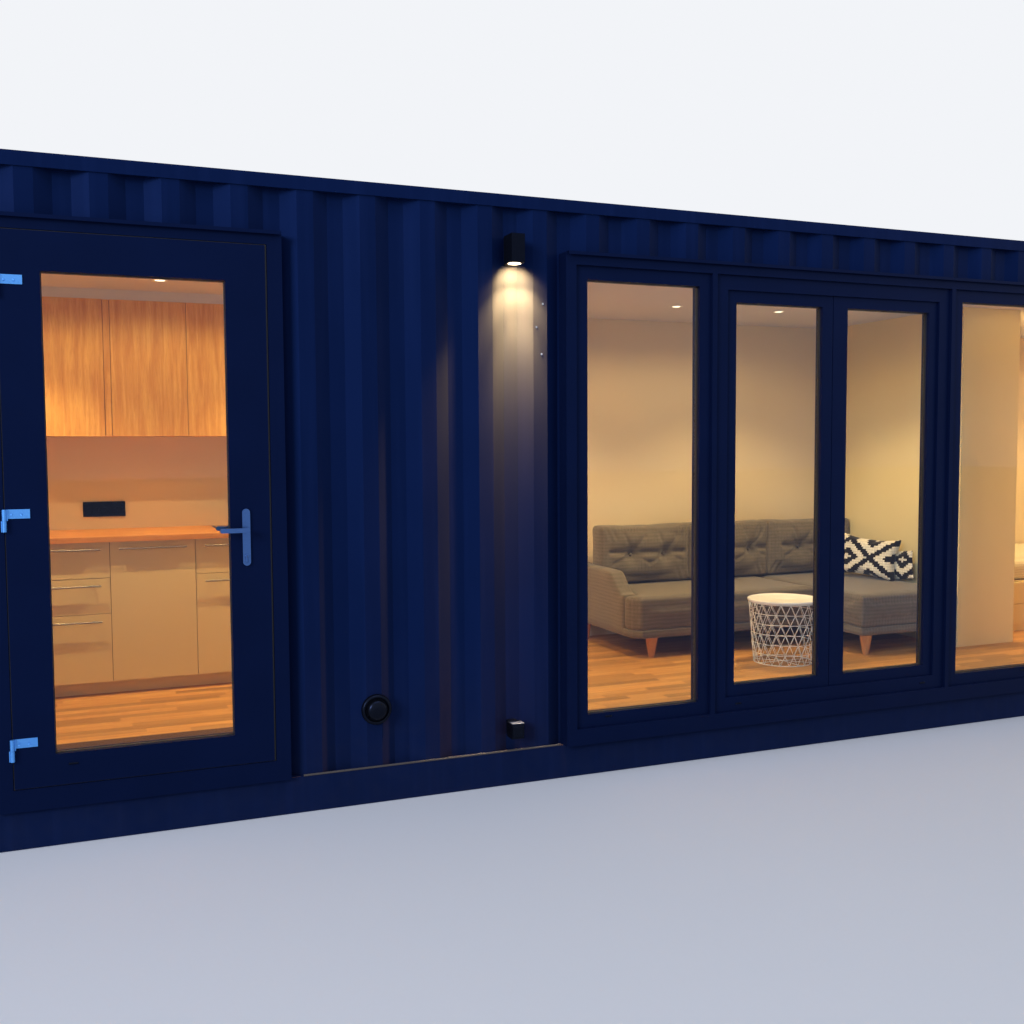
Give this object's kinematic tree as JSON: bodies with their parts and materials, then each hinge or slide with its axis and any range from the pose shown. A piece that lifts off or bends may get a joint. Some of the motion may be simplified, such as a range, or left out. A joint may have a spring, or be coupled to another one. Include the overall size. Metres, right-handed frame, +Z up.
{
  "type": "shipping container cabin",
  "caption": "Long steel container fitted out as a small home, with folded walls, a glazed entrance door, a group of tall windows and a furnished interior",
  "frame": {"origin": "middle of the container's footprint, on the ground", "axes": "+X along the container to the right as seen from the front wall with the door, +Y from the front wall to the back wall, +Z up"},
  "size_m": [12.192, 2.536, 2.896],
  "materials": {
    "container_paint": "satin",
    "wall_board": "matt paint on board",
    "ceiling_board": "matt paint on board",
    "floor_core": "raw plywood",
    "oak_floor": "oiled",
    "frame_foil": "satin grained foil",
    "window_glass": "polished",
    "satin_steel": "brushed",
    "flashing_paint": "satin",
    "lamp_paint": "fine texture powder coat",
    "black_plastic": "satin",
    "unit_lacquer": "smooth lacquer",
    "worktop_wood": "oiled",
    "oak_veneer": "matt veneer",
    "sofa_fabric": "woven",
    "leg_wood": "lacquered",
    "pillow_cover": "woven",
    "white_wire": "powder coat",
    "tray_lacquer": "powder coat",
    "bed_lacquer": "smooth lacquer",
    "bed_cover": "woven"
  },
  "bodies": {
    "container": {"base_rails": "container_paint", "cross_members": "container_paint", "corner_fittings": "container_paint", "corner_posts": "container_paint", "top_rails": "container_paint", "front_sheet_left": "container_paint", "front_sheet_middle": "container_paint", "front_sheet_right": "container_paint", "front_sheet_headers": "container_paint", "back_sheet": "container_paint", "end_sheets": "container_paint", "roof_sheet": "container_paint", "front_lining": "wall_board", "back_lining": "wall_board", "end_linings": "wall_board", "floor_core": "floor_core", "oak_floor": "oak_floor", "ceiling": "ceiling_board", "door_frame": "frame_foil", "hinge_pins": "satin_steel", "window_surround": "frame_foil", "window_frames": "frame_foil", "window_sashes": "frame_foil", "window_glass": "window_glass", "drip_flashings": "flashing_paint", "wall_lamp": "lamp_paint", "vent_cap": "black_plastic", "socket_box": "black_plastic", "base_units": "unit_lacquer", "unit_fronts": "unit_lacquer", "unit_handles": "satin_steel", "worktop": "worktop_wood", "wall_units": "oak_veneer", "wall_socket": "black_plastic", "sofa_frame": "sofa_fabric", "sofa_seats": "sofa_fabric", "sofa_backs": "sofa_fabric", "sofa_legs": "leg_wood", "scatter_pillows": "pillow_cover", "table_basket": "white_wire", "table_top": "tray_lacquer", "cupboard": "wall_board", "day_bed": "bed_lacquer", "bed_mattress": "bed_cover"},
    "door": {"door_leaf": "frame_foil", "door_glass": "window_glass", "hinge_arms": "satin_steel", "handle_plates": "satin_steel"},
    "lever": {"lever_set": "satin_steel"}
  },
  "joints": [
    {"name": "door_hinge", "type": "hinge", "parent": "container", "child": "door", "pos_m": [-4.2715, -1.258, 1.4], "axis": [0, 0, -1], "range_deg": [0, 105]},
    {"name": "lever_turn", "type": "hinge", "parent": "door", "child": "lever", "pos_m": [-3.305, -1.248, 1.321], "axis": [0, -1, 0], "range_deg": [0, 40], "stiffness_Nm_per_rad": 1.5, "springref_deg": -20.05}
  ]
}
